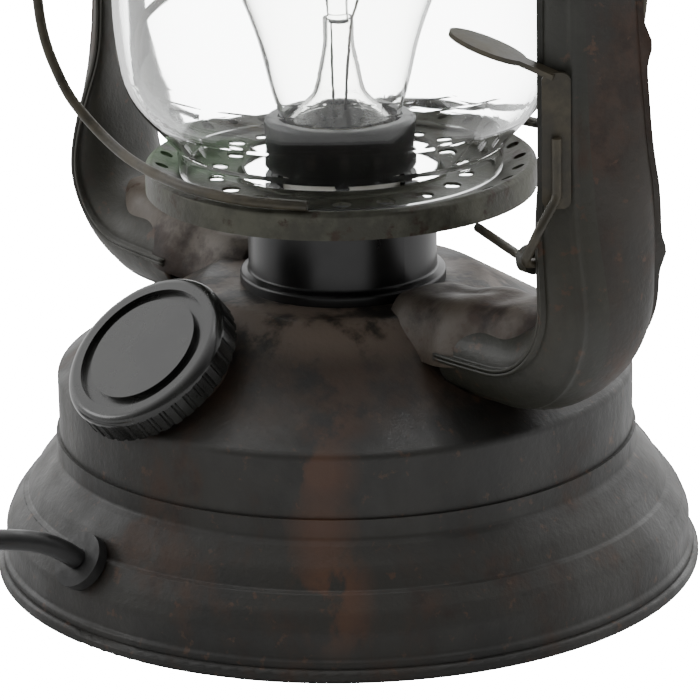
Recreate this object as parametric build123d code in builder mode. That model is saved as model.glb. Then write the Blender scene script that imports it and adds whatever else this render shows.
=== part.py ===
"""An old tubular hurricane lantern, rebuilt as an electric table lamp.

Millimetres, +Z up. The origin is on the lantern's own axis, on the surface that it stands on. The side tubes
stand at +X and -X, and the front, with the filler cap and the cord, faces -Y.
"""

import os
from math import cos, pi, radians, sin, tan

from build123d import *

os.makedirs("parts", exist_ok=True)

# ---- Driving dimensions --------------------------------------------------------------------------

sheet = 0.8  # gauge of the pressed steel

base_radius = 85.0  # rolled foot that the lantern stands on
body_radius = 69.0  # tank wall
lap_height = 34.0  # top of the collar where the foot laps the tank
shoulder_height = 49.0
dome_top_radius = 34.0
dome_top_height = 70.0
floor_height = 28.0  # tank floor, above the hollow foot

filler_lean = 40.0  # degrees that the filler's axis leans forward from upright
filler_face = (0, -61.0, 66.0)  # centre of the cap's face
cap_radius = 21.0
cap_depth = 7.5
neck_radius = 16.0

holder_base_radius = 22.5
holder_base_top = 88.0
holder_radius = 18.0
holder_top = 110.0

plate_radius = 46.4  # outside of the globe plate's rim
plate_top = 99.8
globe_bottom = 97.8
globe_top = 232.0
globe_wall = 1.6

tube_centre = 88.5  # from the lantern's axis to the middle of a side tube
tube_foot_height = 65.5
seam_lip = 1.2  # folded seam standing out from a tube's edges
seam_gap = 0.12  # between the two pressed halves of a tube

pivot = (78.0, -10.0, 93.7)  # lift lever's pivot, whose axis runs along X
lever_wire = 2.2
guard_wire = 2.5

chamber_radius = 42.0
chamber_bottom = 262.0
roof_height = 290.0
sleeve_top = 296.0
flue_radius = 16.5
cap_height = 322.0
top_height = 345.3

bail_pivot_height = 250.0
bail_half_width = 103.0
bail_reach = 122.0  # from the pivots to the outside of the grip
bail_wire = 3.0
bail_lean = 33.0  # degrees behind upright-down where the bail comes to rest

cord_diameter = 5.0
gland_lean = 53.0  # degrees that the gland's axis leans forward from upright
gland_centre = (0, -79.6, 17.6)  # where it crosses the foot's outer surface
coil_centre = (-130.0, -136.0)
coil_radius = 27.5  # middle of the coil's turns
coil_pitch = 5.1  # from one turn to the next
coil_width = 20.4
coil_height = 10.2
coil_outer_turn = coil_radius + 1.5 * coil_pitch
coil_top_turn = 7.6  # height of the upper layer's middle

# ---- Helpers -------------------------------------------------------------------------------------


def turned_wall(points, radii, thickness, side=Side.LEFT):
    """Add a sheet wall turned about Z: the filleted line (radius, height) is one of its faces."""
    with BuildSketch(Plane.XZ) as profile:
        with BuildLine():
            FilletPolyline(*points, radius=radii)
            offset(amount=thickness, side=side)
        make_face()
    revolve(profile.sketch, axis=Axis.Z)


def turned_solid(points):
    """Add a solid turned about Z from a closed outline of (radius, height) points."""
    with BuildSketch(Plane.XZ) as profile:
        with BuildLine():
            Polyline(*points, close=True)
        make_face()
    revolve(profile.sketch, axis=Axis.Z)


def bend_radii(points, largest=1000.0):
    """The arc at each corner: 0.45 of the shorter run over the tangent of half the turn, at most largest."""
    corners = [Vector(*p) for p in points]
    radii = []
    for before, corner, after in zip(corners, corners[1:], corners[2:]):
        shorter = min((corner - before).length, (after - corner).length)
        turn = radians((corner - before).get_angle(after - corner))
        radii.append(min(largest, 0.45 * shorter / tan(turn / 2)))
    return radii


def bent_rod(points, radii, diameter):
    """Add a round rod along straight runs joined by tangent arcs."""
    with BuildLine() as path:
        FilletPolyline(*points, radius=radii)
    with BuildSketch(path.line ^ 0) as section:
        Circle(diameter / 2)
    sweep(section.sketch, path=path.line)


def around(azimuth, radius, height):
    """A point at an azimuth in degrees, counted from the front towards the right tube."""
    return (radius * sin(radians(azimuth)), -radius * cos(radians(azimuth)), height)


def leaning(origin, lean):
    """A plane whose normal leans forward from upright by lean degrees, with X to the right."""
    normal = (0, -sin(radians(lean)), cos(radians(lean)))
    return Plane(origin=origin, x_dir=(1, 0, 0), z_dir=normal)


# ---- Side tubes ----------------------------------------------------------------------------------

# Stations up the right tube: x, z, lean of the path from horizontal, turn of the flat section towards the
# front, width, thickness. The tube leaves the dome as a fat oval, bends up, flattens and turns as it rises.
tube_stations = [
    (50.0, tube_foot_height, 0, 0, 29.0, 22.5),
    (58.0, tube_foot_height, 0, 0, 29.0, 22.5),
    (68.5, tube_foot_height, 0, 2, 29.0, 22.0),
    (76.9, 67.4, 25, 4, 29.0, 21.0),
    (83.1, 71.9, 48, 6, 29.0, 18.8),
    (87.0, 78.0, 70, 8, 29.0, 16.2),
    (tube_centre, 86.0, 90, 10, 28.6, 13.4),
    (tube_centre, 95.0, 90, 14, 27.4, 10.6),
    (tube_centre, 106.0, 90, 38, 25.4, 7.6),
    (tube_centre, 118.0, 90, 43, 24.6, 6.6),
    (tube_centre, 160.0, 90, 43, 24.4, 6.6),
    (tube_centre, 205.0, 90, 43, 24.4, 6.6),
    (tube_centre, 236.0, 90, 38, 24.6, 7.0),
    (tube_centre, 250.0, 90, 18, 25.0, 7.8),
    (85.2, 262.5, 118, 6, 25.5, 8.6),
    (76.0, 271.2, 154, 0, 26.0, 9.4),
    (62.0, 274.0, 180, 0, 27.0, 10.0),
    (38.0, 274.0, 180, 0, 28.0, 11.0),
]


def station_plane(x, z, lean, turn):
    """The plane across the tube: its X runs along the section's width, its Y points away from the globe."""
    along = Vector(cos(radians(lean)), 0, sin(radians(lean)))
    away = Vector(sin(radians(lean)), 0, -cos(radians(lean)))
    wide = Vector(0, 1, 0) * cos(radians(turn)) + away * sin(radians(turn))
    return Plane(origin=(x, 0, z), x_dir=wide, z_dir=along * -1)


def tube_shell(half):
    """Loft one pressed half of the tube, the outer (1) or the inner (-1), with a lip along each edge."""
    sections = []
    for x, z, lean, turn, width, thickness in tube_stations:
        long_radius = width / 2
        short_radius = thickness / 2
        start = 180 / pi * (sheet / short_radius)
        low = seam_gap / 2
        rise = short_radius * sin(radians(start))
        with BuildSketch(station_plane(x, z, lean, turn)) as section:
            with BuildLine():
                span = 180 - 2 * start
                outer = EllipticalCenterArc((0, 0), long_radius, short_radius, start, arc_size=span)
                Polyline(
                    outer @ 0,
                    (long_radius + seam_lip, rise),
                    (long_radius + seam_lip, low),
                    (long_radius - sheet, low),
                )
                Polyline(
                    outer @ 1,
                    (-long_radius - seam_lip, rise),
                    (-long_radius - seam_lip, low),
                    (-long_radius + sheet, low),
                )
                inner_short = short_radius - sheet - low
                EllipticalCenterArc((0, low), long_radius - sheet, inner_short, 0, arc_size=180)
                if half < 0:
                    mirror(about=Plane.XZ, mode=Mode.REPLACE)
            make_face()
        sections.append(section.sketch)
    loft(sections, ruled=True)


def tube_form(stations):
    """Loft the solid oval that the tube's outside follows, for the openings that it enters."""
    sections = []
    for x, z, lean, turn, width, thickness in stations:
        with BuildSketch(station_plane(x, z, lean, turn)) as section:
            Ellipse(width / 2 + 0.2, thickness / 2 + 0.2)
        sections.append(section.sketch)
    loft(sections, ruled=True)


with BuildPart() as right_tube_outer:
    tube_shell(1)
right_tube_outer.part.label = "right_tube_outer"
export_step(right_tube_outer.part, "parts/right_tube_outer.step")

with BuildPart() as right_tube_inner:
    tube_shell(-1)
right_tube_inner.part.label = "right_tube_inner"
export_step(right_tube_inner.part, "parts/right_tube_inner.step")

with BuildPart() as left_tube_outer:
    mirror(right_tube_outer.part, about=Plane.YZ)
left_tube_outer.part.label = "left_tube_outer"
export_step(left_tube_outer.part, "parts/left_tube_outer.step")

with BuildPart() as left_tube_inner:
    mirror(right_tube_inner.part, about=Plane.YZ)
left_tube_inner.part.label = "left_tube_inner"
export_step(left_tube_inner.part, "parts/left_tube_inner.step")

# The room that the tubes' feet take in the dome, and their heads in the air chamber
with BuildPart() as foot_form:
    tube_form(tube_stations[:6])
    mirror(about=Plane.YZ)

with BuildPart() as head_form:
    tube_form(tube_stations[-4:])
    mirror(about=Plane.YZ)

# ---- Fount: foot, tank and tank floor ------------------------------------------------------------

filler = leaning(filler_face, filler_lean)
gland = leaning(gland_centre, gland_lean)

with BuildPart() as fount_skirt:
    turned_wall(
        [
            (base_radius - 1.4, 1.0),
            (base_radius - 1.4, 4.6),
            (82.7, 5.4),
            (82.7, 11.5),
            (80.9, 15.6),
            (78.2, 19.2),
            (77.0, 19.6),
            (74.9, 23.8),
            (71.3, 28.2),
            (body_radius + sheet, 29.4),
            (body_radius + sheet, lap_height),
        ],
        [0.8, 0.8, 5.0, 6.0, 0.6, 0.6, 8.0, 1.6, 1.2],
        sheet,
    )
    # rolled foot: a bead with a flat underside
    with BuildSketch(Plane.XZ) as bead:
        with Locations((base_radius - 1.6, 1.6)):
            RectangleRounded(3.2, 3.2, 1.1)
    revolve(bead.sketch, axis=Axis.Z)
    with BuildSketch(gland) as cord_hole:
        Circle(4.8)
    extrude(cord_hole.sketch, amount=6, both=True, mode=Mode.SUBTRACT)
fount_skirt.part.label = "fount_skirt"
export_step(fount_skirt.part, "parts/fount_skirt.step")

with BuildPart() as fount_shell:
    turned_wall(
        [
            (body_radius, floor_height - 1.0),
            (body_radius, shoulder_height),
            (dome_top_radius, dome_top_height),
            (5.2, dome_top_height),
        ],
        [2.2, 4.0],
        sheet,
    )
    with BuildSketch(filler) as filler_hole:
        Circle(neck_radius)
    extrude(filler_hole.sketch, amount=24, both=True, mode=Mode.SUBTRACT)
    add(foot_form.part, mode=Mode.SUBTRACT)
fount_shell.part.label = "fount_shell"
export_step(fount_shell.part, "parts/fount_shell.step")

# dished floor with its flange turned up inside the tank wall and a rolled hole for the flex
with BuildPart() as fount_floor:
    turned_wall(
        [
            (6.0, floor_height + 3),
            (6.0, floor_height),
            (body_radius - 0.9, floor_height),
            (body_radius - 0.9, 35.0),
        ],
        [1.2, 1.6],
        sheet,
    )
fount_floor.part.label = "fount_floor"
export_step(fount_floor.part, "parts/fount_floor.step")

# ---- Filler: neck, screw cap and its gasket ------------------------------------------------------

with BuildPart() as filler_neck:
    with BuildSketch(filler.offset(-13)) as neck_ring:
        Circle(neck_radius)
        Circle(neck_radius - 1.0, mode=Mode.SUBTRACT)
    extrude(neck_ring.sketch, amount=9.4)
filler_neck.part.label = "filler_neck"
export_step(filler_neck.part, "parts/filler_neck.step")

with BuildPart() as filler_gasket:
    with BuildSketch(filler.offset(-3.4)) as gasket_ring:
        Circle(neck_radius - 0.2)
        Circle(neck_radius - 4, mode=Mode.SUBTRACT)
    extrude(gasket_ring.sketch, amount=1.2)
filler_gasket.part.label = "filler_gasket"
export_step(filler_gasket.part, "parts/filler_gasket.step")

with BuildPart() as filler_cap:
    with BuildSketch(filler.offset(-cap_depth)) as cap_disc:
        Circle(cap_radius)
    extrude(cap_disc.sketch, amount=cap_depth)
    cap_rims = filler_cap.edges().filter_by(GeomType.CIRCLE)
    fillet(cap_rims.sort_by(Axis(filler.origin, filler.z_dir))[-1:], radius=2.2)
    # sunk ring round a raised button
    with BuildSketch(filler.offset(-1.4)) as step_ring:
        Circle(cap_radius - 4.2)
        Circle(cap_radius - 7.0, mode=Mode.SUBTRACT)
    extrude(step_ring.sketch, amount=3, mode=Mode.SUBTRACT)
    with BuildSketch(filler.offset(-cap_depth)) as cap_hollow:
        Circle(neck_radius + 1.0)
    extrude(cap_hollow.sketch, amount=cap_depth - 2.2, mode=Mode.SUBTRACT)
    # knurled grip
    with BuildSketch(filler.offset(-cap_depth)) as knurl:
        with PolarLocations(cap_radius + 0.35, 40):
            Circle(0.8)
    extrude(knurl.sketch, amount=cap_depth - 2.0, mode=Mode.SUBTRACT)
filler_cap.part.label = "filler_cap"
export_step(filler_cap.part, "parts/filler_cap.step")

# ---- Lampholder ----------------------------------------------------------------------------------

with BuildPart() as holder_base:
    turned_wall(
        [
            (24.6, dome_top_height),
            (24.6, dome_top_height + 2.4),
            (holder_base_radius, dome_top_height + 3.2),
            (holder_base_radius, holder_base_top - 1.6),
            (holder_base_radius - 1.8, holder_base_top),
            (15.2, holder_base_top),
        ],
        [0.8, 0.6, 0.8, 0.8],
        2.0,
    )
holder_base.part.label = "holder_base"
export_step(holder_base.part, "parts/holder_base.step")

with BuildPart() as holder_skirt:
    turned_wall(
        [(holder_radius, holder_base_top), (holder_radius, holder_top), (holder_radius - 3.2, holder_top)],
        [1.4],
        1.3,
    )
    # six slots round the middle
    with BuildSketch(Plane.XY.offset(96.2)) as slots:
        Circle(holder_radius + 2)
        Circle(holder_radius - 3, mode=Mode.SUBTRACT)
        with PolarLocations(0, 3, start_angle=20):
            Rectangle(60, 3.2, mode=Mode.SUBTRACT)
    extrude(slots.sketch, amount=3.0, mode=Mode.SUBTRACT)
holder_skirt.part.label = "holder_skirt"
export_step(holder_skirt.part, "parts/holder_skirt.step")

with BuildPart() as holder_core:
    turned_solid(
        [
            (5.0, 76.0),
            (15.0, 76.0),
            (15.0, 88.2),
            (16.4, 88.2),
            (16.4, 101.0),
            (14.2, 101.0),
            (14.2, 90.0),
            (5.0, 90.0),
        ]
    )
holder_core.part.label = "holder_core"
export_step(holder_core.part, "parts/holder_core.step")

with BuildPart() as screw_shell:
    turned_solid([(11.0, 90.2), (14.0, 90.2), (14.0, 108.4), (13.5, 108.4), (13.5, 90.7), (11.0, 90.7)])
screw_shell.part.label = "screw_shell"
export_step(screw_shell.part, "parts/screw_shell.step")

with BuildPart() as centre_contact:
    with BuildSketch(Plane.XY.offset(87.8)):
        SlotOverall(15, 5)
    extrude(amount=0.6)
    with BuildSketch(Plane.XY.offset(88.4)):
        Circle(2.4)
    extrude(amount=2.2)
centre_contact.part.label = "centre_contact"
export_step(centre_contact.part, "parts/centre_contact.step")

with BuildPart() as terminal_screws:
    with BuildSketch(Plane.XY.offset(74.4)):
        with PolarLocations(10.2, 2):
            Circle(2.3)
    extrude(amount=1.6)
    with BuildSketch(Plane.XY.offset(76.0)):
        with PolarLocations(10.2, 2):
            Circle(1.4)
    extrude(amount=8)
terminal_screws.part.label = "terminal_screws"
export_step(terminal_screws.part, "parts/terminal_screws.step")

with BuildPart() as threaded_nipple:
    with BuildSketch(Plane.XY.offset(62)):
        Circle(4.95)
        Circle(3.4, mode=Mode.SUBTRACT)
    extrude(amount=20)
threaded_nipple.part.label = "threaded_nipple"
export_step(threaded_nipple.part, "parts/threaded_nipple.step")

with BuildPart() as nipple_nuts:
    for foot in (dome_top_height - sheet - 3.2, dome_top_height):
        with BuildSketch(Plane.XY.offset(foot)) as nut:
            RegularPolygon(7, 6, major_radius=False)
            Circle(5.0, mode=Mode.SUBTRACT)
        extrude(nut.sketch, amount=3.2)
nipple_nuts.part.label = "nipple_nuts"
export_step(nipple_nuts.part, "parts/nipple_nuts.step")

# ---- Bulb ----------------------------------------------------------------------------------------

with BuildPart() as bulb_glass:
    with BuildSketch(Plane.XZ) as bulb_profile:
        with BuildLine():
            neck_line = Spline(
                (14.0, 109.0),
                (15.9, 116.0),
                (18.8, 128.0),
                (23.8, 142.0),
                (30.0, 165.0),
                tangents=[(0.2, 1), (0, 1)],
            )
            crown = CenterArc((0, 165.0), 30.0, 0, 90)
            Line(crown @ 1, (0, 194.2))
            CenterArc((0, 165.0), 29.2, 90, -90)
            neck_inside = Spline(
                (29.2, 165.0),
                (23.0, 142.3),
                (18.0, 128.2),
                (15.1, 116.1),
                (13.2, 109.0),
                tangents=[(0, -1), (-0.2, -1)],
            )
            Line(neck_inside @ 1, neck_line @ 0)
        make_face()
    revolve(bulb_profile.sketch, axis=Axis.Z)
bulb_glass.part.label = "bulb_glass"
export_step(bulb_glass.part, "parts/bulb_glass.step")

with BuildPart() as bulb_cap:
    turned_wall([(8.2, 92.2), (13.0, 94.0), (13.0, 108.6)], [1.0], 0.5, side=Side.RIGHT)
bulb_cap.part.label = "bulb_cap"
export_step(bulb_cap.part, "parts/bulb_cap.step")

with BuildPart() as bulb_insulator:
    turned_solid([(4.0, 91.4), (5.0, 91.4), (8.0, 92.4), (8.0, 95.0), (4.0, 95.0)])
bulb_insulator.part.label = "bulb_insulator"
export_step(bulb_insulator.part, "parts/bulb_insulator.step")

with BuildPart() as bulb_contact:
    turned_solid([(0, 90.7), (3.0, 90.7), (3.92, 91.4), (3.92, 93.0), (0, 93.0)])
bulb_contact.part.label = "bulb_contact"
export_step(bulb_contact.part, "parts/bulb_contact.step")

with BuildPart() as bulb_stem:
    turned_wall([(11.8, 110.0), (6.0, 116.0), (3.6, 128.0), (3.6, 134.0)], [6.0, 8.0], 0.9, side=Side.LEFT)
    with BuildSketch(Plane.XY.offset(133.0)):
        Circle(2.4)
    extrude(amount=17)
bulb_stem.part.label = "bulb_stem"
export_step(bulb_stem.part, "parts/bulb_stem.step")

with BuildPart() as bulb_filament:
    bent_rod(
        [
            (-3.0, 0, 122),
            (-5.0, 0, 140),
            (-15.0, 0, 158),
            (-9.0, -9, 161),
            (0, -13, 160),
            (9.0, -9, 161),
            (15.0, 0, 158),
            (5.0, 0, 140),
            (3.0, 0, 122),
        ],
        [4, 3, 3, 4, 3, 3, 4],
        0.7,
    )
bulb_filament.part.label = "bulb_filament"
export_step(bulb_filament.part, "parts/bulb_filament.step")

# ---- Globe, its plate and its guard --------------------------------------------------------------

with BuildPart() as globe_plate:
    turned_wall(
        [
            (23.6, 98.8),
            (24.4, 96.8),
            (37.5, 96.8),
            (plate_radius - 1.6, plate_top),
            (plate_radius, plate_top - 1.0),
            (plate_radius, 93.0),
        ],
        [1.0, 4.0, 1.0, 0.8],
        sheet,
        side=Side.RIGHT,
    )
    # draught holes inside and outside the glass
    with BuildSketch(Plane.XY.offset(90)) as draught_holes:
        with PolarLocations(29.5, 18):
            Circle(2.2)
        with PolarLocations(42.4, 28):
            Circle(1.5)
    extrude(draught_holes.sketch, amount=12, mode=Mode.SUBTRACT)
globe_plate.part.label = "globe_plate"
export_step(globe_plate.part, "parts/globe_plate.step")

with BuildPart() as globe:
    turned_wall(
        [
            (38.4, globe_bottom),
            (38.8, 104.0),
            (50.5, 117.0),
            (54.0, 140.0),
            (45.5, 192.0),
            (35.4, 222.0),
            (35.4, globe_top),
        ],
        [4, 20, 90, 150, 40],
        globe_wall,
    )
globe.part.label = "globe"
export_step(globe.part, "parts/globe.step")

# The front wire rests on the plate's right side, crosses in front of the globe's foot and climbs at the left
front_wire_route = [
    around(40, 45.0, plate_top + 1.0),
    around(22, 47.0, 101.4),
    around(2, 47.4, 101.8),
    around(-16, 48.2, 102.3),
    around(-29, 51.5, 103.6),
    around(-38, 57.0, 107.5),
    around(-42, 64.0, 115.0),
    around(-45, 70.0, 128.0),
    around(-47, 72.0, 145.0),
    around(-48, 72.0, 175.0),
    around(-50, 66.0, 202.0),
    around(-52, 49.0, 222.0),
]
# The side wire leaves the plate at the left, swings round the left of the globe and climbs behind it
side_wire_route = [
    around(-78, 45.6, plate_top + 0.6),
    around(-73, 51.0, 102.6),
    around(-71, 57.0, 108.6),
    around(-72, 63.0, 117.0),
    around(-81, 68.0, 123.5),
    around(-95, 70.0, 128.5),
    around(-115, 70.5, 139.0),
    around(-137, 70.0, 156.0),
    around(-156, 66.0, 180.0),
    around(-166, 59.0, 204.0),
    around(-170, 49.0, 222.0),
]

with BuildPart() as guard_wire_front:
    bent_rod(front_wire_route, bend_radii(front_wire_route), guard_wire)
guard_wire_front.part.label = "guard_wire_front"
export_step(guard_wire_front.part, "parts/guard_wire_front.step")

with BuildPart() as guard_wire_back:
    add(guard_wire_front.part.rotate(Axis.Z, 180))
guard_wire_back.part.label = "guard_wire_back"
export_step(guard_wire_back.part, "parts/guard_wire_back.step")

with BuildPart() as guard_wire_side:
    bent_rod(side_wire_route, bend_radii(side_wire_route), guard_wire)
guard_wire_side.part.label = "guard_wire_side"
export_step(guard_wire_side.part, "parts/guard_wire_side.step")

with BuildPart() as guard_ring:
    with BuildSketch(Plane.XZ) as ring_section:
        with Locations((48.2, 223.0)):
            Circle(guard_wire / 2)
    revolve(ring_section.sketch, axis=Axis.Z)
guard_ring.part.label = "guard_ring"
export_step(guard_ring.part, "parts/guard_ring.step")

# ---- Lift lever ----------------------------------------------------------------------------------

_, pivot_y, pivot_z = pivot
lever_route = [
    (42.6, 5.2, 90.4),
    (73.5, pivot_y, pivot_z),
    (80.6, pivot_y, pivot_z),
    (82.8, -17.2, 95.6),
    (87.6, -17.2, 104.0),
    (87.3, -11.4, 110.5),
    (87.3, -11.4, 124.0),
]
with BuildPart() as lift_lever:
    bent_rod(lever_route, [2.5, 2.0, 3.0, 3.0, 3.0], lever_wire)
lift_lever.part.label = "lift_lever"
export_step(lift_lever.part, "parts/lift_lever.step")

# Flat strip beside the tube's front edge, parallel to the tube's face, with an oval thumb leaf at its head
face_turn = 42.0
strip_wide = Vector(sin(radians(face_turn)), cos(radians(face_turn)), 0)
strip_away = Vector(cos(radians(face_turn)), -sin(radians(face_turn)), 0)
strip_middle = Vector(tube_centre, 0, 0) - strip_wide * 9.3 + strip_away * 4.9
strip_plane = Plane(origin=strip_middle + Vector(0, 0, 123), x_dir=strip_wide, z_dir=strip_away)
leaf_root = strip_middle + Vector(0, 0, 137.6)
leaf_tip = Vector(60.5, -18.5, 144.8)
leaf_along = (leaf_tip - leaf_root).normalized()
leaf_across = leaf_along.cross(Vector(0, 0, 1)).normalized()
leaf_plane = Plane(origin=(leaf_root + leaf_tip) / 2, x_dir=leaf_along, z_dir=leaf_across.cross(leaf_along))
leaf_length = (leaf_tip - leaf_root).length

with BuildPart() as thumb_piece:
    with BuildSketch(strip_plane) as strip:
        RectangleRounded(6.4, 31, 2.0)
    extrude(strip.sketch, amount=0.6, both=True)
    with BuildSketch(leaf_plane) as leaf:
        with Locations((4.0, 0)):
            Ellipse(leaf_length / 2 - 4.0, 4.4)
        with Locations((-leaf_length / 2 + 6.0, 0)):
            Rectangle(12.0, 3.4)
    extrude(leaf.sketch, amount=0.6, both=True)
thumb_piece.part.label = "thumb_piece"
export_step(thumb_piece.part, "parts/thumb_piece.step")

with BuildPart() as lever_bracket:
    with BuildSketch(Plane.YZ.offset(75.6)) as bracket_form:
        with Locations((pivot_y, pivot_z)):
            Circle(3.2)
        with Locations(((pivot_y - 1.0) / 2, pivot_z)):
            Rectangle(-pivot_y - 1.0, 4.0)
    extrude(bracket_form.sketch, amount=3.0)
    with BuildSketch(Plane.YZ.offset(78.0)) as bracket_foot:
        with Locations((-3.0, pivot_z)):
            Rectangle(4.0, 4.0)
    extrude(bracket_foot.sketch, amount=5.0)
    with BuildSketch(Plane.YZ.offset(75.6)) as bracket_eye:
        with Locations((pivot_y, pivot_z)):
            Circle(lever_wire / 2 + 0.08)
    extrude(bracket_eye.sketch, amount=8.0, mode=Mode.SUBTRACT)
lever_bracket.part.label = "lever_bracket"
export_step(lever_bracket.part, "parts/lever_bracket.step")

# ---- Air chamber, flue, cap and globe holder -----------------------------------------------------

with BuildPart() as air_chamber:
    turned_wall(
        [
            (chamber_radius, chamber_bottom),
            (chamber_radius, 280.5),
            (33.0, roof_height - 1.6),
            (flue_radius + 1.6, roof_height),
            (flue_radius + 1.6, sleeve_top),
        ],
        [6.0, 8.0, 1.0],
        sheet,
    )
    add(head_form.part, mode=Mode.SUBTRACT)
air_chamber.part.label = "air_chamber"
export_step(air_chamber.part, "parts/air_chamber.step")

with BuildPart() as flue:
    with BuildSketch(Plane.XY.offset(259)) as flue_ring:
        Circle(flue_radius)
        Circle(flue_radius - 0.6, mode=Mode.SUBTRACT)
    extrude(flue_ring.sketch, amount=44)
    # spring flange at the foot, and the stop bead that rests on the air chamber's sleeve
    with BuildSketch(Plane.XY.offset(259)) as flange:
        Circle(21.0)
        Circle(flue_radius - 0.6, mode=Mode.SUBTRACT)
    extrude(flange.sketch, amount=0.8)
    with BuildSketch(Plane.XY.offset(sleeve_top)) as bead:
        Circle(19.6)
        Circle(flue_radius - 0.6, mode=Mode.SUBTRACT)
    extrude(bead.sketch, amount=1.8)
flue.part.label = "flue"
export_step(flue.part, "parts/flue.step")

with BuildPart() as draught_band:
    turned_wall([(flue_radius, 303.4), (24.0, 303.4), (24.0, 316.0)], [2.0], sheet, side=Side.LEFT)
    with BuildSketch(Plane.XY.offset(306.5)) as band_slots:
        with PolarLocations(23.6, 14):
            Rectangle(6, 3.4)
    extrude(band_slots.sketch, amount=5.5, mode=Mode.SUBTRACT)
draught_band.part.label = "draught_band"
export_step(draught_band.part, "parts/draught_band.step")

with BuildPart() as chimney_cap:
    with BuildSketch(Plane.XZ) as cap_profile:
        with BuildLine():
            above = [(33.2, 309.0), (33.2, 312.0), (22.0, 318.4), (9.0, 321.2), (0, cap_height)]
            below = [(32.4, 309.0), (32.4, 311.4), (21.8, 317.4), (8.9, 320.3), (0, cap_height - 0.9)]
            FilletPolyline(*above, radius=[1.6, 8, 8])
            FilletPolyline(above[0], *below, radius=[0, 1.0, 7, 7])
            Line((0, cap_height - 0.9), (0, cap_height))
        make_face()
    revolve(cap_profile.sketch, axis=Axis.Z)
chimney_cap.part.label = "chimney_cap"
export_step(chimney_cap.part, "parts/chimney_cap.step")

lift_ring_route = [
    (-8, 0, 319.6),
    (-13.5, 0, 329),
    (-10, 0, top_height - 1.3),
    (10, 0, top_height - 1.3),
    (13.5, 0, 329),
    (8, 0, 319.6),
]
with BuildPart() as lift_ring:
    bent_rod(lift_ring_route, [4, 7, 7, 4], 2.6)
lift_ring.part.label = "lift_ring"
export_step(lift_ring.part, "parts/lift_ring.step")

# the spring's turns, each a plain ring
with BuildPart() as chimney_spring:
    for turn in range(5):
        with BuildSketch(Plane.XZ) as turn_section:
            with Locations((18.9, 261.0 + 5.8 * turn)):
                Circle(0.8)
        revolve(turn_section.sketch, axis=Axis.Z)
chimney_spring.part.label = "chimney_spring"
export_step(chimney_spring.part, "parts/chimney_spring.step")

with BuildPart() as globe_holder:
    turned_wall(
        [(37.8, 226.0), (37.8, 236.4), (17.0, 246.4), (15.4, 248.0), (15.4, 273.0)],
        [2.0, 1.0, 1.0],
        sheet,
    )
    with BuildSketch(Plane.XY.offset(236)) as vent_holes:
        with PolarLocations(27.5, 12):
            Circle(2.6)
    extrude(vent_holes.sketch, amount=12, mode=Mode.SUBTRACT)
globe_holder.part.label = "globe_holder"
export_step(globe_holder.part, "parts/globe_holder.step")

# ---- Carrying bail -------------------------------------------------------------------------------

with BuildPart() as right_bail_ear:
    with BuildSketch(Plane.YZ.offset(98.0)) as ear_form:
        with Locations((0, bail_pivot_height)):
            Circle(5.0)
        with Locations((0, bail_pivot_height - 5)):
            Rectangle(8.0, 10.0)
    extrude(ear_form.sketch, amount=1.6)
    with BuildSketch(Plane.YZ.offset(92.6)) as ear_foot:
        with Locations((0, bail_pivot_height - 8.0)):
            Rectangle(8.0, 3.6)
    extrude(ear_foot.sketch, amount=7.0)
    with BuildSketch(Plane.YZ.offset(90.0)) as ear_hole:
        with Locations((0, bail_pivot_height)):
            Circle(bail_wire / 2 + 0.08)
    extrude(ear_hole.sketch, amount=12.0, mode=Mode.SUBTRACT)
right_bail_ear.part.label = "right_bail_ear"
export_step(right_bail_ear.part, "parts/right_bail_ear.step")

with BuildPart() as left_bail_ear:
    mirror(right_bail_ear.part, about=Plane.YZ)
left_bail_ear.part.label = "left_bail_ear"
export_step(left_bail_ear.part, "parts/left_bail_ear.step")


def bail_point(side, half_width, drop):
    """A point on the bail: drop is its distance from the pivots, down the leaning plane of the bail."""
    lean = radians(bail_lean)
    return (side * half_width, drop * sin(lean), bail_pivot_height - drop * cos(lean))


bail_depth = bail_reach - bail_wire / 2
bail_route = [
    bail_point(-1, 95.6, 0),
    bail_point(-1, bail_half_width, 0),
    bail_point(-1, bail_half_width, bail_depth),
    bail_point(1, bail_half_width, bail_depth),
    bail_point(1, bail_half_width, 0),
    bail_point(1, 95.6, 0),
]
with BuildPart() as bail:
    bent_rod(bail_route, [3.0, 88.0, 88.0, 3.0], bail_wire)
bail.part.label = "bail"
export_step(bail.part, "parts/bail.step")

# ---- Cord ----------------------------------------------------------------------------------------

gland_axis = Vector(gland.z_dir)
gland_mouth = Vector(*gland_centre) + gland_axis * 3.0

with BuildPart() as cord_gland:
    for start, height, radius in ((-3.4, 2.4, 6.4), (-1.0, 1.3, 4.6), (0.3, 2.7, 6.8)):
        with BuildSketch(gland.offset(start)) as gland_step:
            Circle(radius)
            Circle(cord_diameter / 2 + 0.05, mode=Mode.SUBTRACT)
        extrude(gland_step.sketch, amount=height)
cord_gland.part.label = "cord_gland"
export_step(cord_gland.part, "parts/cord_gland.step")

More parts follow.
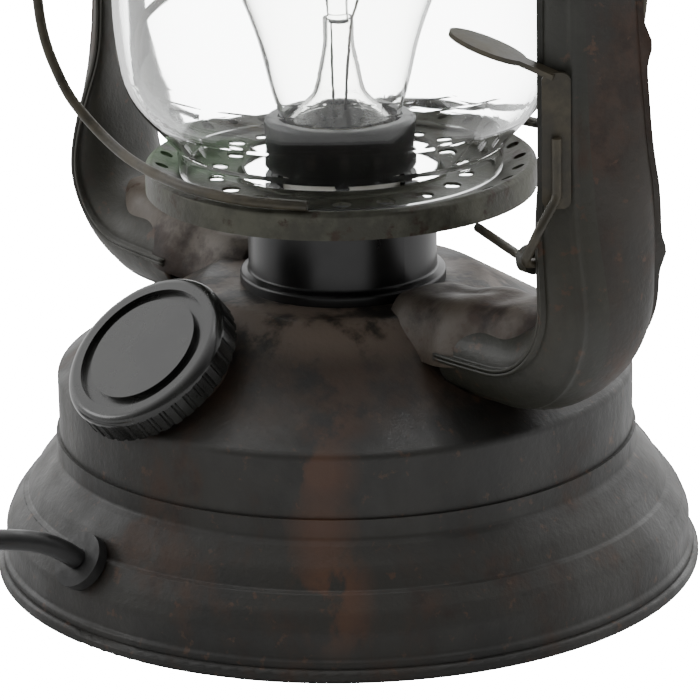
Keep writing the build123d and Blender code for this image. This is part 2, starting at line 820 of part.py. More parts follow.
floor_axis = cord_diameter / 2
coil_x, coil_y = coil_centre
cord_route = [
    tuple(gland_mouth),
    (-0.6, -87.6, 24.6),
    (-9.0, -96.0, 25.6),
    (-26.0, -102.5, 21.5),
    (-47.0, -105.0, 11.5),
    (-68.0, -103.0, 3.4),
    (-96.0, coil_y + coil_outer_turn + 0.4, floor_axis),
    (coil_x, coil_y + coil_outer_turn, floor_axis),
]
tail_route = [
    (coil_x, coil_y - coil_outer_turn, coil_top_turn),
    (-104.0, coil_y - coil_outer_turn - 0.4, 5.0),
    (-80.0, -170.0, 7.0),
    (-56.0, -166.0, 7.0),
]
flex_route = [
    tuple(gland_mouth),
    (0, -70.6, 10.8),
    (0, -58.0, 7.0),
    (0, -38.0, 8.0),
    (0, -17.0, 11.0),
    (0, -3.0, 19.0),
    (0, 0, 34.0),
    (0, 0.2, 56.0),
    (0, 0, 78.0),
]

with BuildPart() as cord:
    bent_rod(cord_route, bend_radii(cord_route, 250), cord_diameter)
cord.part.label = "cord"
export_step(cord.part, "parts/cord.step")

with BuildPart() as cord_coil:
    with BuildSketch(Plane.XZ.offset(-coil_y)) as coil_section:
        with Locations((coil_x + coil_radius, coil_height / 2)):
            RectangleRounded(coil_width, coil_height, 2.5)
    revolve(coil_section.sketch, axis=Axis((coil_x, coil_y, 0), (0, 0, 1)))
cord_coil.part.label = "cord_coil"
export_step(cord_coil.part, "parts/cord_coil.step")

with BuildPart() as cord_tail:
    bent_rod(tail_route, bend_radii(tail_route, 250), cord_diameter)
cord_tail.part.label = "cord_tail"
export_step(cord_tail.part, "parts/cord_tail.step")

with BuildPart() as inner_flex:
    bent_rod(flex_route, bend_radii(flex_route, 60), cord_diameter)
inner_flex.part.label = "inner_flex"
export_step(inner_flex.part, "parts/inner_flex.step")

# Flat two-pin plug lying on the table behind its strain relief
tail_end = Vector(*tail_route[-1])
plug_along = (tail_end - Vector(*tail_route[-2])).normalized()
plug_plane = Plane(origin=tail_end, x_dir=(-plug_along.Y, plug_along.X, 0), z_dir=plug_along)
boot_length = 24.0
body_length = 34.0
pin_length = 19.0

with BuildPart() as plug_boot:
    with BuildSketch(plug_plane) as boot_tip:
        Circle(cord_diameter / 2 + 0.9)
    with BuildSketch(plug_plane.offset(boot_length)) as boot_root:
        Circle(5.4)
    loft([boot_tip.sketch, boot_root.sketch])
plug_boot.part.label = "plug_boot"
export_step(plug_boot.part, "parts/plug_boot.step")

with BuildPart() as plug_body:
    sections = []
    for along, width, height in ((0, 16, 12.6), (7, 25, 13.8), (26, 30, 13.8), (body_length, 26, 13.0)):
        with BuildSketch(plug_plane.offset(boot_length + along)) as body_section:
            RectangleRounded(width, height, 4.5)
        sections.append(body_section.sketch)
    loft(sections, ruled=True)
plug_body.part.label = "plug_body"
export_step(plug_body.part, "parts/plug_body.step")

with BuildPart() as plug_pins:
    with BuildSketch(plug_plane.offset(boot_length + body_length)) as pin_section:
        with GridLocations(18.6, 0, 2, 1):
            Circle(2.0)
    extrude(pin_section.sketch, amount=pin_length)
plug_pins.part.label = "plug_pins"
export_step(plug_pins.part, "parts/plug_pins.step")
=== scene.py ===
"""The looks of an old hurricane lantern that was made into an electric table lamp.

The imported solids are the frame. The side tubes, the bulb's filament, the spring and the cord are made here
as finer pieces, and every other solid keeps its shape and gets a worn, procedural finish. Metres, +Z up.
"""

import math

import bpy
import numpy as np
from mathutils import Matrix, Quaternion, Vector


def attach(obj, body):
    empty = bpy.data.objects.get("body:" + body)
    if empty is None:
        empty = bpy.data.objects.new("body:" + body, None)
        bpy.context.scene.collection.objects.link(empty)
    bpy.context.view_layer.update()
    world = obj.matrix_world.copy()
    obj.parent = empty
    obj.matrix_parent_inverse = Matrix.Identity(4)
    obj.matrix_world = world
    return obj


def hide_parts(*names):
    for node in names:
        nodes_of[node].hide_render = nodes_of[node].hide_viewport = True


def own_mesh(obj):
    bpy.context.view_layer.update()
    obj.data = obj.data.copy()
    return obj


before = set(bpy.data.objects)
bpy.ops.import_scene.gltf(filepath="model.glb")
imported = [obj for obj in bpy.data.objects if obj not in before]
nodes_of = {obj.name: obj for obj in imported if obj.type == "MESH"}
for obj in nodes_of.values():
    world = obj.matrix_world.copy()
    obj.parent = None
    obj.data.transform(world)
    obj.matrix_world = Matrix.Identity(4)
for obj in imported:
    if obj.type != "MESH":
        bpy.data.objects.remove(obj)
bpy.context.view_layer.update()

# ---- Camera --------------------------------------------------------------------------------------------------

view_azimuth = math.radians(50)
eye = Vector((1.0276 * math.sin(view_azimuth), -1.0276 * math.cos(view_azimuth), 0.392))
target = Vector((0.0008, 0.0010, 0.0515))
camera_data = bpy.data.cameras.new("studio_camera")
camera_data.lens = 232.0
camera_data.clip_start = 0.05
camera = bpy.data.objects.new("studio_camera", camera_data)
bpy.context.scene.collection.objects.link(camera)
camera.location = eye
camera.rotation_mode = "QUATERNION"
level = (target - eye).to_track_quat("-Z", "Y")
camera.rotation_quaternion = level @ Quaternion((0, 0, 1), math.radians(-1.1))
bpy.context.scene.camera = camera

# ---- Finishes ------------------------------------------------------------------------------------------------


class Finish:
    """A node material being wired up: short calls for the few nodes that these finishes are made of."""

    def __init__(self, name):
        self.material = bpy.data.materials.new(name)
        self.material.use_nodes = True
        self.tree = self.material.node_tree
        self.shader = self.tree.nodes["Principled BSDF"]
        self.place = self.tree.nodes.new("ShaderNodeTexCoord").outputs["Object"]

    def link(self, source, socket):
        self.tree.links.new(source, socket)

    def noise(self, scale, detail=6.0, stretch=(1, 1, 1)):
        """Fractal noise on the object's own coordinates, in cells per metre."""
        mapping = self.tree.nodes.new("ShaderNodeMapping")
        mapping.inputs["Scale"].default_value = stretch
        self.link(self.place, mapping.inputs["Vector"])
        texture = self.tree.nodes.new("ShaderNodeTexNoise")
        texture.inputs["Scale"].default_value = scale
        texture.inputs["Detail"].default_value = detail
        texture.inputs["Roughness"].default_value = 0.62
        self.link(mapping.outputs["Vector"], texture.inputs["Vector"])
        return texture.outputs["Fac"]

    def band(self, value, low, high):
        """0 below low, 1 above high, smooth between."""
        node = self.tree.nodes.new("ShaderNodeMapRange")
        node.interpolation_type = "SMOOTHSTEP"
        node.inputs["From Min"].default_value = low
        node.inputs["From Max"].default_value = high
        self.link(value, node.inputs["Value"])
        return node.outputs["Result"]

    def spread(self, value, low, high):
        """A noise value remapped to the range low to high."""
        node = self.tree.nodes.new("ShaderNodeMapRange")
        node.inputs["From Min"].default_value = 0.3
        node.inputs["From Max"].default_value = 0.7
        node.inputs["To Min"].default_value = low
        node.inputs["To Max"].default_value = high
        self.link(value, node.inputs["Value"])
        return node.outputs["Result"]

    def times(self, a, b):
        node = self.tree.nodes.new("ShaderNodeMath")
        node.operation = "MULTIPLY"
        self.link(a, node.inputs[0])
        self.link(b, node.inputs[1])
        return node.outputs[0]

    def mix(self, factor, a, b):
        """Colour a where factor is 0, colour b where it is 1; each is a socket or a colour."""
        node = self.tree.nodes.new("ShaderNodeMix")
        node.data_type = "RGBA"
        self.link(factor, node.inputs["Factor"])
        for socket, colour in ((node.inputs[6], a), (node.inputs[7], b)):
            if isinstance(colour, tuple):
                socket.default_value = (*colour, 1.0)
            else:
                self.link(colour, socket)
        return node.outputs[2]

    def near(self, centre, radius, soft):
        """1 inside a ball round centre, fading to 0 over soft."""
        offset = self.tree.nodes.new("ShaderNodeVectorMath")
        offset.operation = "DISTANCE"
        offset.inputs[1].default_value = centre
        self.link(self.place, offset.inputs[0])
        return self.band_down(offset.outputs["Value"], radius, radius + soft)

    def band_down(self, value, low, high):
        """1 below low, 0 above high."""
        node = self.tree.nodes.new("ShaderNodeMapRange")
        node.inputs["From Min"].default_value = low
        node.inputs["From Max"].default_value = high
        node.inputs["To Min"].default_value = 1.0
        node.inputs["To Max"].default_value = 0.0
        self.link(value, node.inputs["Value"])
        return node.outputs["Result"]

    def height(self):
        """The height above the table, in metres."""
        node = self.tree.nodes.new("ShaderNodeSeparateXYZ")
        self.link(self.place, node.inputs[0])
        return node.outputs["Z"]

    def bump(self, value, strength, distance=0.0006):
        node = self.tree.nodes.new("ShaderNodeBump")
        node.inputs["Strength"].default_value = strength
        node.inputs["Distance"].default_value = distance
        self.link(value, node.inputs["Height"])
        self.link(node.outputs["Normal"], self.shader.inputs["Normal"])

    def colour(self, source):
        self.link(source, self.shader.inputs["Base Color"])

    def roughness(self, source):
        self.link(source, self.shader.inputs["Roughness"])


def worn_paint(name, paint, faded, rust, rust_from, metallic=0.0, streaks=True):
    """Old dark paint: broad faded clouds, rust that breaks through in patches and runs, and a fine grain."""
    finish = Finish(name)
    clouds = finish.noise(22, 5)
    patches = finish.noise(38, 8, (1, 1, 0.55) if streaks else (1, 1, 1))
    grain = finish.noise(650, 3)
    base = finish.mix(finish.band(clouds, 0.40, 0.62), paint, faded)
    bloom = finish.band(patches, rust_from, rust_from + 0.12)
    rusty = finish.mix(finish.band(finish.noise(120, 6), 0.42, 0.62), rust, tuple(0.45 * c for c in rust))
    surface = finish.mix(bloom, base, rusty)
    specks = finish.band(finish.noise(260, 4), 0.60, 0.70)
    surface = finish.mix(specks, surface, tuple(1.5 * c for c in rust))
    finish.colour(surface)
    finish.roughness(finish.spread(patches, 0.34, 0.70))
    finish.shader.inputs["Metallic"].default_value = metallic
    finish.bump(grain, 0.35, 0.0004)
    return finish


def tank_paint():
    """The tank's and foot's paint, with one orange run of rust down the front, a rustier dome, and a painted
    highlight: a pale band round the top of the dome where the light from above falls.
    """
    finish = worn_paint("worn_tank_paint_and_painted_highlight", (0.0085, 0.0082, 0.0068), (0.0170, 0.0155, 0.0122), (0.032, 0.0165, 0.0090), 0.55)
    surface = finish.shader.inputs["Base Color"].links[0].from_socket
    ragged = finish.noise(90, 6, (1, 1, 0.4))
    for centre, radius, soft in (
        ((0.0383, -0.0322, 0.0620), 0.0020, 0.0065),
        ((0.0445, -0.0404, 0.0560), 0.0015, 0.0080),
        ((0.0490, -0.0487, 0.0450), 0.0030, 0.0070),
        ((0.0511, -0.0510, 0.0320), 0.0035, 0.0070),
        ((0.0556, -0.0520, 0.0200), 0.0040, 0.0070),
        ((0.0590, -0.0526, 0.0130), 0.0020, 0.0080),
    ):
        run = finish.times(finish.near(centre, radius, soft), finish.band(ragged, 0.43, 0.55))
        surface = finish.mix(run, surface, (0.060, 0.026, 0.012))
    dome = finish.times(finish.band(finish.height(), 0.049, 0.058), finish.band(ragged, 0.34, 0.64))
    surface = finish.mix(dome, surface, (0.036, 0.022, 0.014))
    # Painted highlight: the top of the dome is painted pale where the light from above falls on it.
    painted_highlight_crown = finish.times(finish.band(finish.height(), 0.062, 0.068), finish.band(ragged, 0.40, 0.56))
    surface = finish.mix(painted_highlight_crown, surface, (0.130, 0.100, 0.078))
    finish.colour(surface)
    return finish.material


def plate_patina():
    """The globe plate: bare steel gone grey-green, with a bright green bloom at the left and brown pits."""
    finish = Finish("plate_patina")
    clouds = finish.noise(60, 7)
    surface = finish.mix(finish.band(clouds, 0.40, 0.60), (0.034, 0.033, 0.024), (0.075, 0.075, 0.056))
    surface = finish.mix(finish.band(finish.noise(180, 5), 0.55, 0.66), surface, (0.030, 0.019, 0.011))
    bloom = finish.times(finish.near((-0.030, -0.022, 0.097), 0.006, 0.014), finish.band(clouds, 0.36, 0.50))
    surface = finish.mix(bloom, surface, (0.085, 0.150, 0.070))
    finish.colour(surface)
    finish.roughness(finish.spread(clouds, 0.35, 0.65))
    finish.shader.inputs["Metallic"].default_value = 0.45
    finish.bump(finish.noise(500, 4), 0.4, 0.0005)
    return finish.material


def plain(name, colour, second, rough, metallic=0.0, scale=160, bump=0.15, coat=0.0):
    """A smaller part's finish: two near colours in clouds, uneven gloss and a slight grain."""
    finish = Finish(name)
    clouds = finish.noise(scale, 5)
    finish.colour(finish.mix(finish.band(clouds, 0.38, 0.62), colour, second))
    finish.roughness(finish.spread(clouds, rough * 0.75, min(1.0, rough * 1.3)))
    finish.shader.inputs["Metallic"].default_value = metallic
    finish.shader.inputs["Coat Weight"].default_value = coat
    finish.bump(finish.noise(scale * 4, 3), bump, 0.0002)
    return finish.material


def clear_glass(name, tint, ripple):
    """Clear glass, faintly uneven as blown glass is, with a trace of dust in its gloss."""
    finish = Finish(name)
    clouds = finish.noise(24, 3)
    finish.roughness(finish.spread(finish.noise(70, 6), 0.0, 0.05))
    finish.shader.inputs["Base Color"].default_value = (*tint, 1.0)
    finish.shader.inputs["Transmission Weight"].default_value = 1.0
    finish.shader.inputs["IOR"].default_value = 1.45
    finish.bump(clouds, ripple, 0.002)
    return finish.material


tank_finish = tank_paint()
tube_finish = worn_paint(
    "worn_tube_paint", (0.0160, 0.0135, 0.0100), (0.0260, 0.0200, 0.0140), (0.040, 0.0200, 0.0110), 0.50
).material
inner_tube_finish = worn_paint(
    "worn_olive_paint", (0.0170, 0.0170, 0.0120), (0.0300, 0.0280, 0.0195), (0.036, 0.0200, 0.0115), 0.56
).material
top_finish = worn_paint(
    "worn_top_paint", (0.0120, 0.0115, 0.0100), (0.0210, 0.0190, 0.0160), (0.038, 0.0190, 0.0105), 0.53, streaks=False
).material
# Painted highlight: the saddles' pale sheet colours stand for the light from above on their tops; the patches in them
# are rust.
saddle_highlight_and_rust_finish = worn_paint(
    "rusted_sheet_with_painted_highlight", (0.070, 0.056, 0.043), (0.120, 0.100, 0.080), (0.034, 0.019, 0.012), 0.50, streaks=False
).material
wire_finish = plain("rusty_wire", (0.028, 0.024, 0.015), (0.060, 0.050, 0.031), 0.45, 0.2, 120, 0.4)
plate_finish = plate_patina()
cap_finish = plain("cap_enamel", (0.0050, 0.0052, 0.0046), (0.0110, 0.0115, 0.0095), 0.26, 0.0, 60, 0.2, 0.2)
steel_finish = plain("dull_steel", (0.30, 0.28, 0.26), (0.20, 0.17, 0.14), 0.42, 0.8)
brass_finish = plain("aged_brass", (0.58, 0.42, 0.17), (0.42, 0.30, 0.13), 0.32, 0.95)
bulb_metal = plain("bulb_cap_metal", (0.66, 0.65, 0.58), (0.52, 0.50, 0.42), 0.28, 0.9)
bakelite = plain("black_bakelite", (0.0030, 0.0030, 0.0032), (0.0060, 0.0058, 0.0058), 0.32, 0.0, 50, 0.04)
porcelain = plain("porcelain", (0.74, 0.72, 0.66), (0.66, 0.63, 0.56), 0.30, 0.0, 60, 0.1, 0.4)
rubber = plain("black_rubber", (0.006, 0.006, 0.006), (0.012, 0.012, 0.0115), 0.55, 0.0, 200, 0.3)
cord_finish = plain("cord_sheath", (0.006, 0.006, 0.006), (0.011, 0.011, 0.011), 0.42, 0.0, 140, 0.2)
tungsten = plain("tungsten_wire", (0.30, 0.28, 0.26), (0.22, 0.20, 0.18), 0.35, 0.8)
globe_glass = clear_glass("globe_glass", (0.985, 0.995, 0.99), 0.05)
bulb_glass = clear_glass("bulb_glass", (0.995, 0.995, 0.985), 0.02)
seal_glass = plain("black_seal_glass", (0.010, 0.010, 0.012), (0.02, 0.018, 0.02), 0.15)

finish_of = {
    tank_finish: ["fount_skirt", "fount_shell", "filler_neck"],
    top_finish: ["air_chamber", "chimney_cap", "draught_band", "globe_holder", "left_bail_ear", "right_bail_ear"],
    inner_tube_finish: ["lever_bracket"],
    wire_finish: ["guard_wire_front", "guard_wire_back", "guard_wire_side", "guard_ring", "lift_lever", "thumb_piece",
                  "bail", "lift_ring"],
    plate_finish: ["globe_plate"],
    cap_finish: ["filler_cap"],
    steel_finish: ["fount_floor", "flue", "nipple_nuts", "terminal_screws"],
    brass_finish: ["screw_shell", "centre_contact", "threaded_nipple", "bulb_contact", "plug_pins"],
    bulb_metal: ["bulb_cap"],
    bakelite: ["holder_base", "holder_skirt"],
    porcelain: ["holder_core"],
    rubber: ["filler_gasket", "cord_gland"],
    cord_finish: ["inner_flex", "plug_boot", "plug_body"],
    globe_glass: ["globe"],
    bulb_glass: ["bulb_glass", "bulb_stem"],
    seal_glass: ["bulb_insulator"],
}
for finish, names in finish_of.items():
    for name in names:
        mesh = nodes_of[name].data
        mesh.materials.clear()
        mesh.materials.append(finish)

# ---- Cord ----------------------------------------------------------------------------------------------------

cord_diameter = 0.005
coil_centre = np.array([-0.130, -0.136])
coil_radius = 0.0275
turn_pitch = 0.0051
outer_turn = coil_radius + 1.5 * turn_pitch
low_layer = 0.0025
high_layer = 0.0076

lead_route = [
    (0.0, -0.0819959, 0.0194054),
    (-0.0006, -0.0876, 0.0246),
    (-0.0090, -0.0960, 0.0256),
    (-0.0260, -0.1025, 0.0215),
    (-0.0470, -0.1050, 0.0115),
    (-0.0680, -0.1030, 0.0034),
    (-0.0960, coil_centre[1] + outer_turn + 0.0004, low_layer),
]
tail_route = [
    (-0.1040, coil_centre[1] - outer_turn - 0.0004, 0.0050),
    (-0.0800, -0.1700, 0.0070),
    (-0.0560, -0.1660, 0.0070),
]


def coil_route(turns_a_layer=4, points_a_turn=16):
    """The coil's turns, anticlockwise: the lower layer winds inwards, the upper layer winds back out.

    Over a layer the radius goes steadily from the outer turn to the inner one; the cord climbs to the upper
    layer in the half turn between them, and comes out at the side opposite to the one it came in at.
    """
    half_turns = 2 * (turns_a_layer - 1)
    low = np.arange(half_turns * points_a_turn // 2 + 1) / points_a_turn
    low_radius = outer_turn - low * turn_pitch
    climb = low[-1] + np.arange(1, points_a_turn // 2 + 1) / points_a_turn
    high = climb[-1] + np.arange(1, half_turns * points_a_turn // 2 + 1) / points_a_turn
    high_radius = low_radius[-1] + (high - climb[-1]) * turn_pitch
    turn = np.concatenate([low, climb, high])
    radius = np.concatenate([low_radius, np.full(len(climb), low_radius[-1]), high_radius])
    rise = np.clip((turn - low[-1]) / 0.5, 0, 1)
    height = low_layer + (high_layer - low_layer) * (3 * rise**2 - 2 * rise**3)
    angle = math.pi / 2 + 2 * math.pi * turn
    return np.stack(
        [coil_centre[0] + radius * np.cos(angle), coil_centre[1] + radius * np.sin(angle), height], axis=1
    )


def nurbs(name, route, radius, finish, resolution=8):
    """A round cord or wire along one open NURBS spline whose control points are the route."""
    curve = bpy.data.curves.new(name, "CURVE")
    curve.dimensions = "3D"
    spline = curve.splines.new("NURBS")
    spline.points.add(len(route) - 1)
    spline.points.foreach_set("co", np.column_stack([route, np.ones(len(route))]).ravel())
    spline.order_u = 3
    spline.use_endpoint_u = True
    curve.resolution_u = resolution
    curve.bevel_depth = radius
    curve.bevel_resolution = 4
    curve.use_fill_caps = True
    curve.materials.append(finish)
    piece = bpy.data.objects.new(name, curve)
    bpy.context.scene.collection.objects.link(piece)
    return piece


cord_points = np.concatenate([np.array(lead_route), coil_route(), np.array(tail_route)])
power_cord = nurbs("power_cord", cord_points, cord_diameter / 2, cord_finish, 4)
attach(power_cord, "lantern")
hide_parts("cord", "cord_coil", "cord_tail")


def route_length(points):
    """The length of the smooth line: a curve of the same points with no thickness, read back as a mesh."""
    probe = bpy.data.curves.new("length_probe", "CURVE")
    probe.dimensions = "3D"
    spline = probe.splines.new("NURBS")
    spline.points.add(len(points) - 1)
    spline.points.foreach_set("co", np.column_stack([points, np.ones(len(points))]).ravel())
    spline.order_u = 3
    spline.use_endpoint_u = True
    probe.resolution_u = 12
    holder = bpy.data.objects.new("length_probe", probe)
    mesh = bpy.data.meshes.new_from_object(holder)
    line = np.empty(len(mesh.vertices) * 3)
    mesh.vertices.foreach_get("co", line)
    steps = np.diff(line.reshape(-1, 3), axis=0)
    bpy.data.objects.remove(holder)
    bpy.data.curves.remove(probe)
    bpy.data.meshes.remove(mesh)
    return float(np.linalg.norm(steps, axis=1).sum())


route_length(cord_points)

# ---- Surfaces on a grid --------------------------------------------------------------------------------------


def grid_piece(name, points, finish):
    """A closed mesh from an array of rings, shape (along, across, 3): quads between rings, one face on each end.

    The order of the points round a ring sets which way the faces point.
    """
    rows, columns, _ = points.shape
    row, column = np.meshgrid(np.arange(rows - 1) * columns, np.arange(columns), indexing="ij")
    next_column = (column + 1) % columns
    quads = np.stack(
        [row + column, row + next_column, row + columns + next_column, row + columns + column], axis=-1
    )
    first_end = np.arange(columns)[::-1]
    last_end = (rows - 1) * columns + np.arange(columns)
    faces = [*quads.reshape(-1, 4).tolist(), first_end.tolist(), last_end.tolist()]
    mesh = bpy.data.meshes.new(name)
    mesh.from_pydata(points.reshape(-1, 3), [], faces)
    mesh.polygons.foreach_set("use_smooth", np.ones(len(mesh.polygons), dtype=bool))
    mesh.materials.append(finish)
    mesh.update()
    piece = bpy.data.objects.new(name, mesh)
    bpy.context.scene.collection.objects.link(piece)
    return piece


# ---- Side tubes ----------------------------------------------------------------------------------------------

tube_centre = 0.0885
foot_height = 0.0655
head_height = 0.2740
foot_start = 0.050
head_end = 0.038
low_bend = 0.0205
high_bend = 0.0240
sheet = 0.0008
bead_inset = 0.0064
bead_width = 0.0007
bead_height = 0.0006
full_width = 0.0244

# How the section changes up the tube: distance along it, turn towards the front in degrees, width, thickness
section_steps = np.array([
    (0.000, 0, 0.0290, 0.0225),
    (0.018, 2, 0.0290, 0.0221),
    (0.029, 5, 0.0290, 0.0203),
    (0.040, 8, 0.0290, 0.0168),
    (0.051, 11, 0.0286, 0.0130),
    (0.060, 16, 0.0274, 0.0104),
    (0.070, 34, 0.0256, 0.0078),
    (0.080, 42, 0.0234, 0.0068),
    (0.120, 43, 0.0204, 0.0066),
    (0.170, 43, 0.0204, 0.0066),
    (0.205, 36, 0.0240, 0.0071),
    (0.219, 16, 0.0251, 0.0079),
    (0.240, 3, 0.0258, 0.0089),
    (0.255, 0, 0.0268, 0.0100),
    (0.268, 0, 0.0280, 0.0125),
    (0.285, 0, 0.0300, 0.0145),
])


def tube_line(count=150):
    """The tube's middle line: out level from the dome, an arc up, straight up, an arc in, and level inwards.

    Returns distance, position (x, z) and the direction's angle from level at evenly spaced distances.
    """
    level_out = tube_centre - low_bend - foot_start
    arc_up = low_bend * math.pi / 2
    upright = head_height - high_bend - foot_height - low_bend
    arc_in = high_bend * math.pi / 2
    level_in = tube_centre - high_bend - head_end
    ends = np.cumsum([level_out, arc_up, upright, arc_in, level_in])
    distance = np.linspace(0, ends[-1], count)
    angle = np.clip((distance - ends[0]) / low_bend, 0, math.pi / 2)
    angle = angle + np.clip((distance - ends[2]) / high_bend, 0, math.pi / 2)
    step = distance[1]
    middle = (angle[1:] + angle[:-1]) / 2
    x = foot_start + np.concatenate([[0], np.cumsum(np.cos(middle)) * step])
    z = foot_height + np.concatenate([[0], np.cumsum(np.sin(middle)) * step])
    return distance, x, z, angle


def smoothed(values, reach=5):
    """A running mean over 2 * reach + 1 samples, with the ends held."""
    padded = np.concatenate([np.full(reach, values[0]), values, np.full(reach, values[-1])])
    return np.convolve(padded, np.ones(2 * reach + 1) / (2 * reach + 1), mode="valid")


def tube_half(name, side, half, finish):
    """One pressed half of a side tube, as a closed skin: outer face, seam lip, inner face, seam lip.

    The section is half an oval whose width and depth change along the tube. Its outer face runs from lip to
    lip at the full radii, and its inner face runs back at the radii less the sheet. A folded seam stands out
    along each edge. Shallow dents, a sum of a few slow waves, keep the faces from looking new.
    """
    distance, x, z, angle = tube_line()
    turn, width, depth = (
        smoothed(np.interp(distance, section_steps[:, 0], section_steps[:, k])) for k in (1, 2, 3)
    )
    turn = np.radians(turn)
    across = np.radians(np.linspace(4, 176, 61))
    lip = 0.0013
    half_width = (width / 2)[:, None]
    half_depth = (depth / 2)[:, None]
    dents = 0.00022 * (
        np.sin(distance * 95 + side)[:, None] * np.sin(across * 2)[None]
        + 0.7 * np.sin(distance * 210 + 2 * side)[:, None] * np.cos(across * 3)[None]
    )
    outer_w = half_width * np.cos(across)
    bead = np.exp(-(((outer_w + half_width - bead_inset) / bead_width) ** 2)) * bead_height
    outer_n = half_depth * np.sin(across) + (dents + bead) * (half > 0)
    inner_w = (half_width - sheet) * np.cos(across[::-1])
    inner_n = (half_depth - sheet) * np.sin(across[::-1]) + 0.0001
    ones = np.ones_like(half_width)
    lumps = sum(np.exp(-(((z - height) / 0.0032) ** 2)) for height in (0.094, 0.1435))
    far = half_width + lip + 0.0015 * lumps[:, None]
    near = half_width + lip
    edge = half_depth * math.sin(math.radians(4))
    w = np.concatenate(
        [far, far, outer_w, -near, -near, -near + lip, inner_w, far - lip], axis=1
    )
    w = w - np.clip(full_width - width, 0, None)[:, None] / 2
    n = np.concatenate(
        [0.0001 * ones, 0.0009 * ones, np.maximum(outer_n, edge), 0.0009 * ones, 0.0001 * ones, 0.0001 * ones, inner_n,
         0.0001 * ones],
        axis=1,
    )
    n = n * half
    away = np.stack([np.sin(angle), np.zeros_like(angle), -np.cos(angle)], axis=1)
    back = np.array([0.0, 1.0, 0.0])
    wide = back[None] * np.cos(turn)[:, None] + away * np.sin(turn)[:, None]
    out = away * np.cos(turn)[:, None] - back[None] * np.sin(turn)[:, None]
    middle = np.stack([x, np.zeros_like(x), z], axis=1)
    points = middle[:, None] + wide[:, None] * w[..., None] + out[:, None] * n[..., None]
    points[..., 0] *= side
    if side * half > 0:
        points = points[:, ::-1]
    piece = grid_piece(name, points, finish)
    if half > 0:
        piece.data.materials.append(inner_tube_finish)
        columns = w.shape[1]
        before_bead = np.zeros(columns, dtype=bool)
        before_bead[2:-2] = w[len(w) // 2, 2:-2] < -(w[len(w) // 2].max() - bead_inset)
        if side * half > 0:
            before_bead = before_bead[::-1]
        strip = np.concatenate([np.tile(before_bead, len(w) - 1), [False, False]])
        piece.data.polygons.foreach_set("material_index", strip.astype(int))
    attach(piece, "lantern")
    return piece


def saddle(name, side):
    """The pressed sheet over a tube's foot: a ridge that runs from the lampholder out to the tube.

    Along x its half width swells and then draws in to a point at the tube, and across it the height is
    the top's less the fall times the fifth power of the offset, so that it is flat on top and steep at the sides.
    """
    along = np.linspace(0, 1, 60)
    x = 0.027 + 0.054 * along
    half_width = 0.0150 * np.clip(np.sin(math.pi * (0.20 + 0.72 * along)), 0, None) ** 0.6
    top = 0.0735 + 0.0060 * np.sin(math.pi / 2 * along) + 0.0004 * np.sin(along * 19)
    bottom = 0.0600 + 0.0080 * along
    offset = np.linspace(-1, 1, 41)
    height = top[:, None] - (top - bottom)[:, None] * np.abs(offset) ** 5
    height = height - 0.0011 * np.exp(-(((offset[None] - 0.1) / 0.16) ** 2 + ((along[:, None] - 0.36) / 0.09) ** 2))
    y = half_width[:, None] * offset[None] * (1 + 0.06 * np.sin(along * 17)[:, None])
    upper = np.stack([np.broadcast_to(x[:, None], y.shape), y, height], axis=-1)
    lower = upper[:, -2:0:-1].copy()
    lower[..., 2] = bottom[:, None] - 0.0004
    points = np.concatenate([upper, lower], axis=1)
    middle = points.mean(axis=1, keepdims=True)
    points = np.concatenate([middle[:1] + (points[:1] - middle[:1]) * 0.001, points,
                             middle[-1:] + (points[-1:] - middle[-1:]) * 0.001])
    points[..., 0] *= side
    if side > 0:
        points = points[:, ::-1]
    # The saddle's pale colour is a painted highlight of the light from above.
    piece = grid_piece(name, points, saddle_highlight_and_rust_finish)
    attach(piece, "lantern")


saddle("right_tube_saddle", 1)
saddle("left_tube_saddle", -1)


for side, hand in ((1, "right"), (-1, "left")):
    outer = tube_half(hand + "_tube_outside", side, 1, tube_finish)
    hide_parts(hand + "_tube_outer")
    inner = tube_half(hand + "_tube_inside", side, -1, inner_tube_finish)
    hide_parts(hand + "_tube_inner")

# ---- Spring and filament -------------------------------------------------------------------------------------



def helix_wire(name, radius, wire_radius, bottom, top, turns, finish):
    """A wound spring: a circle of wire_radius carried round a helix about the Z axis, with closed ends.

    A point of the wire is the helix point plus wire_radius times (cos a * outward + sin a * upward). The
    first and last two rings shrink to the middle, so that the ends are shut.
    """
    turn = np.linspace(0, turns * 2 * math.pi, int(turns * 28) + 1)
    around = np.linspace(0, 2 * math.pi, 12, endpoint=False)
    size = np.full(len(turn), wire_radius)
    size[[0, -1]] = 0.00001
    turn[[0, -1]] = turn[[1, -2]]
    outward = np.stack([np.cos(turn), np.sin(turn), np.zeros_like(turn)], axis=1)
    middle = outward * radius
    middle[:, 2] = bottom + (top - bottom) * turn / (turns * 2 * math.pi)
    ring = np.cos(around)[None, :, None] * outward[:, None]
    ring = ring + np.sin(around)[None, :, None] * np.array([0.0, 0.0, 1.0])
    points = middle[:, None] + ring * size[:, None, None]
    return grid_piece(name, points[:, ::-1], finish)


spring = helix_wire("return_spring", 0.0189, 0.0008, 0.2616, 0.2842, 4.5, steel_finish)
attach(spring, "lantern")
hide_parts("chimney_spring")
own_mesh(spring)

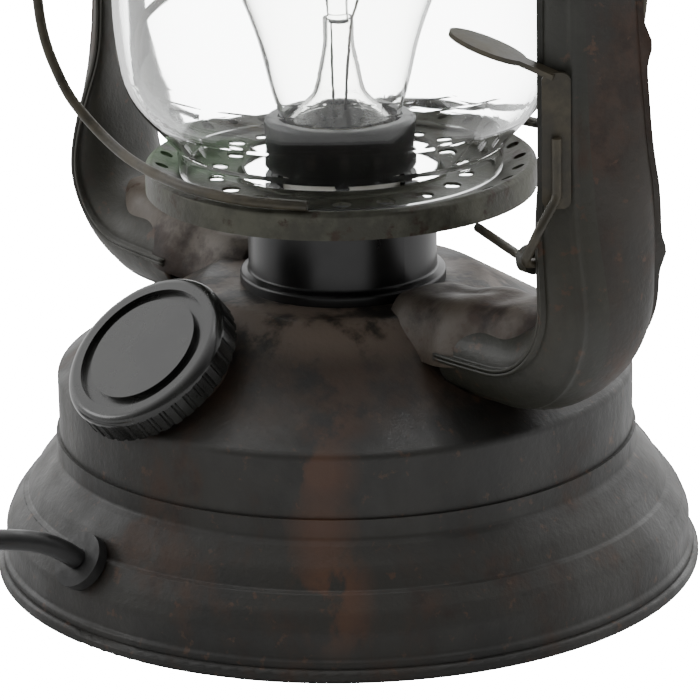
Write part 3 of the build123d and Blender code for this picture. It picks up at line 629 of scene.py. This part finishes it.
filament_foot = 0.1340
filament_parts = []
hooks = []
for number in range(7):
    bearing = math.radians(-75 + 55 * number)
    reach = 0.0115
    hooks.append((reach * math.cos(bearing), reach * math.sin(bearing), 0.1570 + 0.0010 * (number % 2)))
    support = [
        (0.0012 * math.cos(bearing), 0.0012 * math.sin(bearing), 0.1480),
        (0.0050 * math.cos(bearing), 0.0050 * math.sin(bearing), 0.1500),
        (0.0095 * math.cos(bearing), 0.0095 * math.sin(bearing), 0.1550),
        hooks[-1],
    ]
    wire = nurbs("filament_hook_" + str(number + 1), support, 0.00018, tungsten)
    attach(wire, "bulb")
loop = nurbs("filament", [(-0.0105, 0.0, 0.1490), *hooks, (0.0060, 0.0100, 0.1490)], 0.00022, tungsten)
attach(loop, "bulb")
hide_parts("bulb_filament")
for sign in (-1, 1):
    lead = [
        (0.0022 * sign, 0, 0.1120),
        (0.0030 * sign, 0, 0.1300),
        (0.0062 * sign, 0.0012, 0.1400),
        (0.0090 * sign, 0.0040 * (sign > 0), 0.1490),
    ]
    wire = nurbs("filament_lead_" + ("right" if sign > 0 else "left"), lead, 0.00035, tungsten)
    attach(wire, "bulb")

# ---- Studio --------------------------------------------------------------------------------------------------


def seen_or_lighting(tree, seen, lighting):
    """A strength that is the first number where the backdrop is seen, also through glass, and else the second.

    Seen means a camera ray, or a transmitted ray that no surface has scattered or mirrored on its way.
    """
    path = tree.nodes.new("ShaderNodeLightPath")

    def math_node(operation, a, b):
        node = tree.nodes.new("ShaderNodeMath")
        node.operation = operation
        tree.links.new(a, node.inputs[0])
        tree.links.new(b, node.inputs[1])
        return node.outputs[0]

    either = math_node("MAXIMUM", path.outputs["Is Camera Ray"], path.outputs["Is Transmission Ray"])
    bounces = math_node("ADD", path.outputs["Diffuse Depth"], path.outputs["Glossy Depth"])
    straight = math_node("SUBTRACT", either, bounces)
    level = tree.nodes.new("ShaderNodeMapRange")
    tree.links.new(straight, level.inputs["Value"])
    level.inputs["To Max"].default_value = seen
    if isinstance(lighting, (int, float)):
        level.inputs["To Min"].default_value = lighting
    else:
        tree.links.new(lighting, level.inputs["To Min"])
    return level.outputs["Result"]


def wrapped_light(tree, behind, in_front):
    """The world's light by direction alone: brighter from behind the lamp, dimmer from the front."""
    direction = tree.nodes.new("ShaderNodeTexCoord").outputs["Generated"]
    product = tree.nodes.new("ShaderNodeVectorMath")
    product.operation = "DOT_PRODUCT"
    product.inputs[1].default_value = (-0.74, 0.62, 0.26)
    tree.links.new(direction, product.inputs[0])
    level = tree.nodes.new("ShaderNodeMapRange")
    level.inputs["From Min"].default_value = -0.5
    level.inputs["From Max"].default_value = 0.9
    level.inputs["To Min"].default_value = in_front
    level.inputs["To Max"].default_value = behind
    tree.links.new(product.outputs["Value"], level.inputs["Value"])
    return level.outputs["Result"]


def pale_stage():
    """A plain white table that runs on out of every view."""
    finish = Finish("pale_stage")
    finish.colour(finish.mix(finish.band(finish.noise(3, 2), 0.3, 0.7), (0.80, 0.80, 0.80), (0.77, 0.77, 0.77)))
    finish.shader.inputs["Roughness"].default_value = 0.8
    finish.shader.inputs["Emission Color"].default_value = (1, 1, 1, 1)
    finish.link(seen_or_lighting(finish.tree, 26.0, 0.0), finish.shader.inputs["Emission Strength"])
    mesh = bpy.data.meshes.new("table")
    mesh.from_pydata([(-6, -6, 0), (6, -6, 0), (6, 6, 0), (-6, 6, 0)], [], [(0, 1, 2, 3)])
    mesh.materials.append(finish.material)
    floor = bpy.data.objects.new("table", mesh)
    bpy.context.scene.collection.objects.link(floor)


def softbox(name, place, aim, width, power):
    light = bpy.data.lights.new(name, "AREA")
    light.shape = "RECTANGLE"
    light.size = width
    light.size_y = width * 0.7
    light.energy = power
    holder = bpy.data.objects.new(name, light)
    holder.location = place
    holder.rotation_mode = "QUATERNION"
    holder.rotation_quaternion = (Vector(aim) - Vector(place)).to_track_quat("-Z", "Y")
    bpy.context.scene.collection.objects.link(holder)


pale_stage()
softbox("top_softbox", (-0.1, 0.2, 1.0), (0, 0, 0.1), 0.8, 5)
softbox("left_softbox", (-0.9, -0.8, 0.6), (0, 0, 0.08), 0.5, 2.5)
world = bpy.data.worlds.new("studio")
world.use_nodes = True
background = world.node_tree.nodes["Background"]
background.inputs["Color"].default_value = (1, 1, 1, 1)
lighting = wrapped_light(world.node_tree, 2.3, 0.26)
world.node_tree.links.new(seen_or_lighting(world.node_tree, 28.0, lighting), background.inputs["Strength"])
bpy.context.scene.world = world
